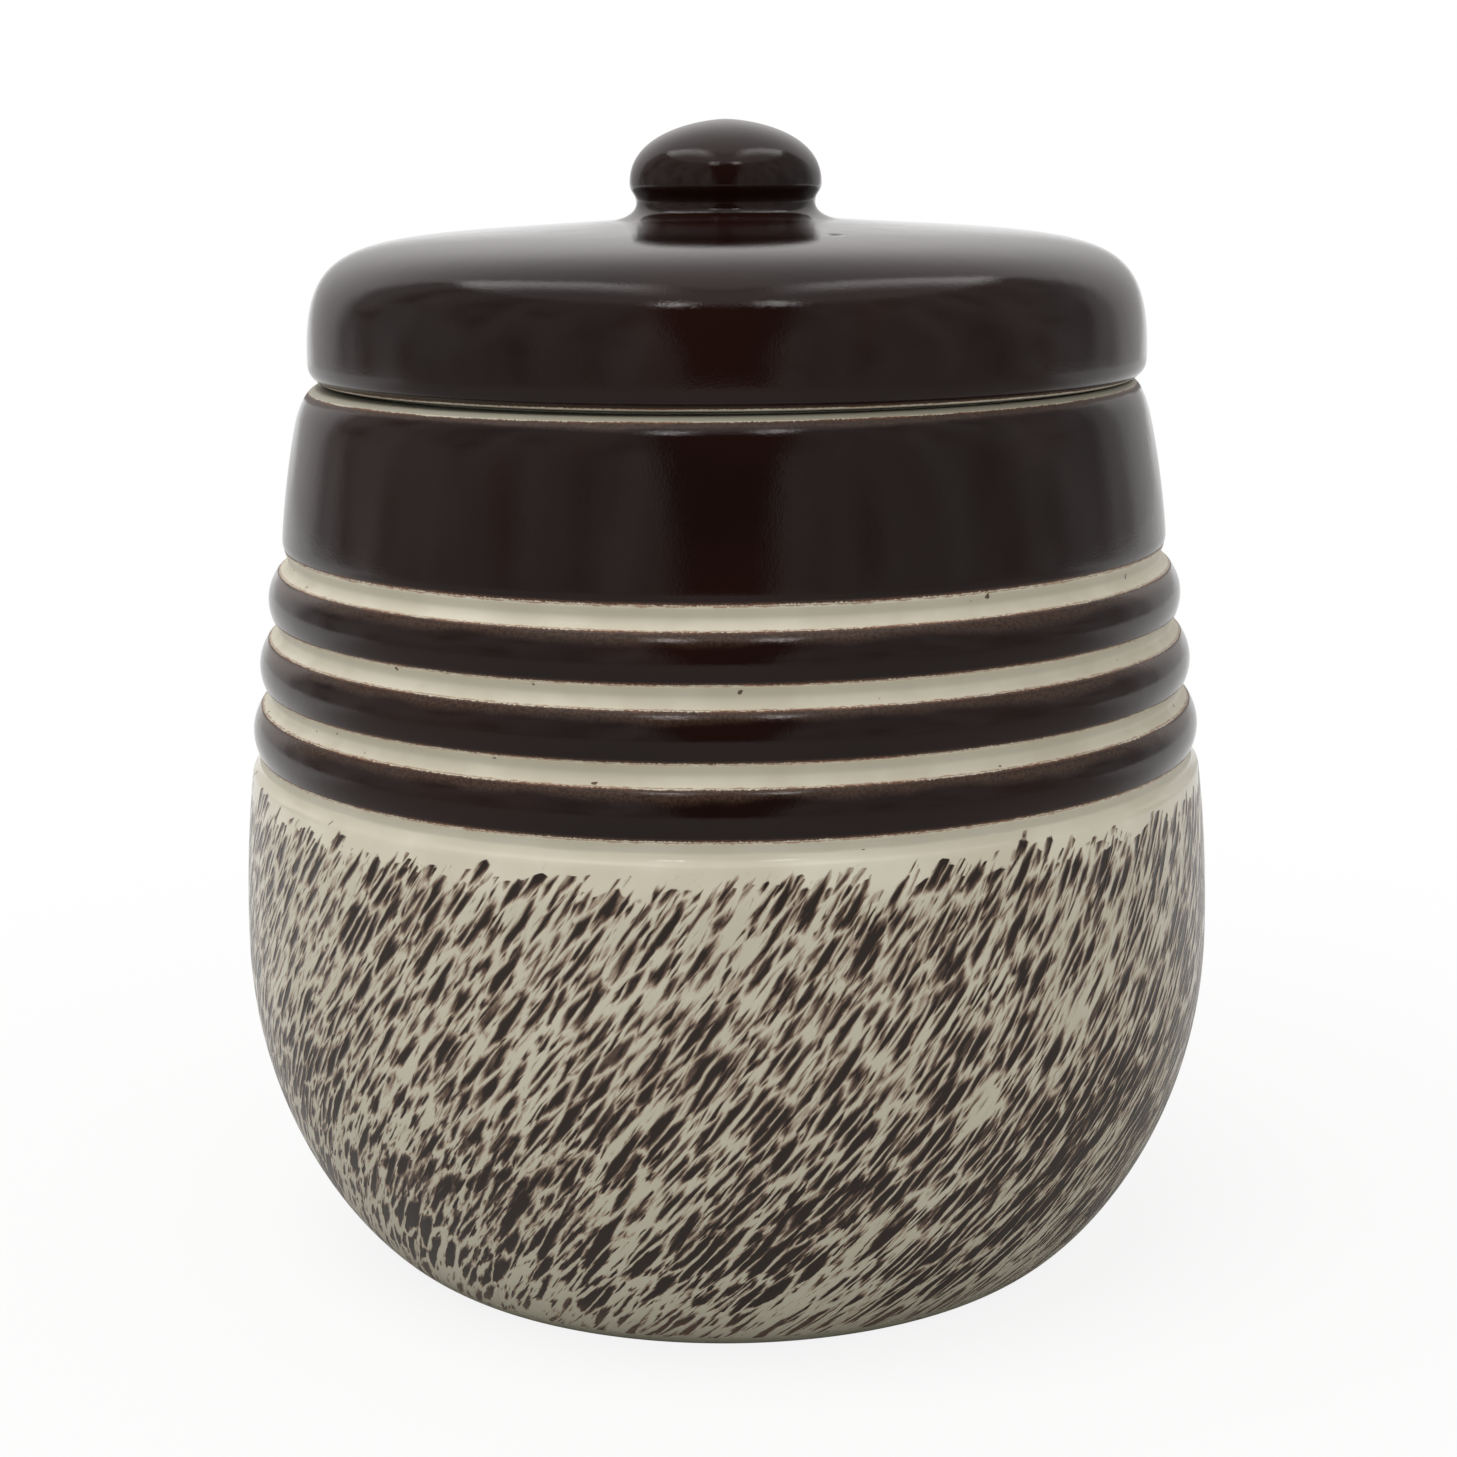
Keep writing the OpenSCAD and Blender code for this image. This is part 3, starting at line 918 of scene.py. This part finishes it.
def panel(name, grid, material):
    """A sheet from a grid of points, kept out of the object."""
    rows = len(grid)
    columns = len(grid[0])
    places = [point for row in grid for point in row]
    faces = []
    for r in range(rows - 1):
        for start in range(r * columns, (r + 1) * columns - 1):
            faces.append((start, start + 1, start + columns + 1, start + columns))
    mesh = bpy.data.meshes.new(name)
    mesh.from_pydata(places, [], faces)
    mesh.polygons.foreach_set("use_smooth", [True] * len(faces))
    mesh.materials.append(material)
    sheet = bpy.data.objects.new(name, mesh)
    bpy.context.scene.collection.objects.link(sheet)
    return sheet


def floor_surface():
    """A pale matt floor, nearly white to the camera, with a faint shadow close to the pot.

    In the glaze it is mirrored darker near the pot, a painted shade, and white farther away.
    """
    material, tree, shader = surface("floor")
    shader.inputs["Roughness"].default_value = 0.9
    shader.inputs["Specular IOR Level"].default_value = 0.0
    rays = tree.add("ShaderNodeLightPath").outputs
    place = tree.place()
    away = tree.add("ShaderNodeVectorMath", {0: place}, operation="LENGTH").outputs["Value"]
    back = tree.parts(place)["Y"]
    # Painted shade: near the pot, and less behind it, the floor is darker where the glaze mirrors
    # it
    mirrored = tree.times(rays["Is Glossy Ray"], tree.fall(away, 1.0, 1.3))
    mirrored = tree.times(mirrored, tree.span(back, -0.02, 0.12, 1.0, 0.35))
    tree.put(shader.inputs["Base Color"], tree.mix(mirrored, FLOOR_PALE, FLOOR_MIRRORED_SHADE))
    seen = tree.larger(rays["Is Camera Ray"], rays["Is Transmission Ray"])
    glow_share = tree.times(seen, tree.span(away, 0.04, 0.22, 0.87, 1.0))
    far_glow = tree.math("SUBTRACT", rays["Is Glossy Ray"], mirrored, clamp=True)
    glow_share = tree.larger(glow_share, far_glow)
    glow = tree.add("ShaderNodeEmission", {"Color": WHITE, "Strength": 1.0})
    both = tree.add("ShaderNodeMixShader", {0: glow_share, 1: shader.outputs["BSDF"],
                                            2: glow.outputs["Emission"]})
    output = next(node for node in tree.tree.nodes if node.type == "OUTPUT_MATERIAL")
    tree.put(output.inputs["Surface"], both.outputs["Shader"])
    return material


def tent_surface():
    """The white tent that the glaze mirrors: how brightly each place of it glows."""
    material = bpy.data.materials.new("tent")
    material.use_nodes = True
    tree = Tree(material.node_tree)
    parts = tree.parts(tree.vectors("SUBTRACT", tree.place(), (0, 0, TENT_Z)))
    across = tree.plus(tree.over(parts["X"], TENT_R), 0.005)
    side = tree.size(across)
    deep = tree.over(parts["Y"], TENT_R)
    rise = tree.over(parts["Z"], TENT_R)
    in_front = tree.fall(deep, -0.3, 0.0)

    # The dark opening in front, widest above its middle, with a lit edge at its upper corners
    wide = tree.minus(tree.span(rise, 0.0, 0.45, 0.19, 0.26),
                      tree.span(rise, 0.58, 0.73, 0.0, 0.015))
    in_width = tree.fall(tree.minus(side, wide), -0.01, 0.03)
    opening = tree.times(in_width, tree.fall(rise, 0.72, 0.74))
    opening = tree.times(opening, in_front)
    corner = tree.times(tree.span(side, 0.13, 0.16), tree.fall(side, 0.22, 0.24))
    corner = tree.times(corner, tree.span(rise, 0.738, 0.746))
    corner = tree.times(corner, tree.fall(rise, 0.764, 0.772))
    corner = tree.times(corner, in_front)

    # The front wall hangs in folds, with a seam at each side of the opening
    turn_share = tree.math("ARCTAN2", parts["X"], tree.times(parts["Y"], -1.0))
    hang = tree.add("ShaderNodeCombineXYZ", {"X": turn_share, "Y": tree.times(rise, 0.22)})
    folds = tree.noise(hang.outputs[0], scale=5.5, detail=4, rough=0.6)
    crease = tree.minus(tree.noise(hang.outputs[0], scale=3.1, detail=3, rough=0.55), 0.5)
    crease = tree.span(tree.size(crease), 0.004, 0.016, 0.45, 1.0)
    seam_at = tree.plus(tree.times(rise, 0.14), 0.59)
    seam = tree.minus(tree.size(turn_share), seam_at)
    seam = tree.span(tree.size(seam), 0.006, 0.022, 0.4, 1.0)
    wall_tone = tree.times(tree.span(folds, 0.3, 0.7, 0.2, 0.62, smooth=False), crease)
    wall_tone = tree.times(wall_tone, seam)

    # The ceiling, with a bright strip at each side of its front part and a dark hem across it
    behind = tree.minus(tree.plus(deep, 0.31), tree.times(side, 1.1))
    strip = tree.times(tree.span(side, 0.12, 0.30), tree.span(behind, -0.45, 0.0))
    front_tone = tree.span(strip, 0.0, 1.0, 0.75, 3.8, smooth=False)
    front_tone = tree.blend(tree.span(rise, 0.735, 0.75), wall_tone, front_tone)
    ceiling_tone = tree.span(rise, 0.05, 0.55, 0.68, 1.05)
    soft_edge = tree.span(rise, 0.55, 0.8, 0.12, 0.012)
    is_behind = tree.span(behind, tree.times(soft_edge, -1.0), soft_edge)
    tone = tree.blend(is_behind, front_tone, ceiling_tone)
    hem = tree.size(tree.plus(behind, 0.05))
    tone = tree.times(tone, tree.span(hem, 0.004, 0.018, 0.4, 1.0))
    tone = tree.blend(opening, tone, 0.03)
    tone = tree.plus(tone, tree.times(corner, 17.0))
    glow = tree.add("ShaderNodeEmission", {"Color": TENT_WHITE, "Strength": tone})
    tree.add("ShaderNodeOutputMaterial", {"Surface": glow.outputs["Emission"]})
    return material


def tent_point(ring, turn):
    """A point on the tent: ring is the angle from its middle, turn the angle round that."""
    tilt = math.radians(TENT_TILT)
    across = math.sin(ring) * math.cos(turn)
    up = math.sin(ring) * math.sin(turn)
    out = math.cos(ring)
    return (TENT_R * across, TENT_R * (-out * math.cos(tilt) + up * math.sin(tilt)),
            TENT_Z + TENT_R * (out * math.sin(tilt) + up * math.cos(tilt)))


def softbox(name, place, aim, width, depth, power):
    """A rectangular lamp that points from place to aim."""
    lamp = bpy.data.lights.new(name, "AREA")
    lamp.shape = "RECTANGLE"
    lamp.size = width
    lamp.size_y = depth
    lamp.energy = power
    holder = bpy.data.objects.new(name, lamp)
    bpy.context.scene.collection.objects.link(holder)
    holder.location = place
    holder.rotation_mode = "QUATERNION"
    holder.rotation_quaternion = (Vector(aim) - Vector(place)).to_track_quat("-Z", "Y")
    holder.visible_glossy = False


panel("floor", [[(-FLOOR_REACH, -FLOOR_REACH, 0), (FLOOR_REACH, -FLOOR_REACH, 0)],
                [(-FLOOR_REACH, FLOOR_REACH, 0), (FLOOR_REACH, FLOOR_REACH, 0)]], floor_surface())

tent_grid = [[tent_point(0.0, 0.0)] * (TENT_TURNS + 1)]
for r in range(1, TENT_RINGS + 1):
    ring = math.radians(TENT_SPREAD) * r / TENT_RINGS
    turns = [2 * math.pi * c / TENT_TURNS for c in range(TENT_TURNS + 1)]
    tent_grid.append([tent_point(ring, turn) for turn in turns])
tent = panel("tent", tent_grid, tent_surface())
tent.visible_camera = False
tent.visible_diffuse = False
tent.visible_shadow = False
tent.visible_transmission = False

# The world lights the pot softly and shows as white where it is seen or mirrored
world = bpy.data.worlds.new("studio")
bpy.context.scene.world = world
world.use_nodes = True
sky = Tree(world.node_tree)
rays = sky.add("ShaderNodeLightPath").outputs
shown = sky.larger(rays["Is Camera Ray"], rays["Is Glossy Ray"])
shown = sky.larger(shown, rays["Is Transmission Ray"])
soft = sky.add("ShaderNodeBackground", {"Color": SKY_WHITE, "Strength": SKY_LIGHT})
white = sky.add("ShaderNodeBackground", {"Color": WHITE, "Strength": 1.0})
both = sky.add("ShaderNodeMixShader", {0: shown, 1: soft.outputs[0], 2: white.outputs[0]})
sky.add("ShaderNodeOutputWorld", {"Surface": both.outputs[0]})

softbox("top_softbox", (-0.25, -0.25, 0.92), (0, 0, 0.05), 0.9, 0.7, 5.0)

# Camera: where the photograph was taken from, in metres, degrees and millimetres
CAMERA_AT = (0, -0.2843, 0.1132)
CAMERA_YAW = -0.062
CAMERA_PITCH = 78.07
CAMERA_ROLL = -0.45
SENSOR_W = 36
LENS = 68
camera_data = bpy.data.cameras.new("camera")
camera_data.sensor_width = SENSOR_W
camera_data.lens = LENS
camera = bpy.data.objects.new("camera", camera_data)
bpy.context.scene.collection.objects.link(camera)
camera.location = CAMERA_AT
camera.rotation_mode = "QUATERNION"
camera.rotation_quaternion = (Quaternion((0, 0, 1), math.radians(CAMERA_YAW))
                              @ Quaternion((1, 0, 0), math.radians(CAMERA_PITCH))
                              @ Quaternion((0, 0, 1), math.radians(CAMERA_ROLL)))
bpy.context.scene.camera = camera
bpy.context.scene.view_settings.view_transform = "Standard"
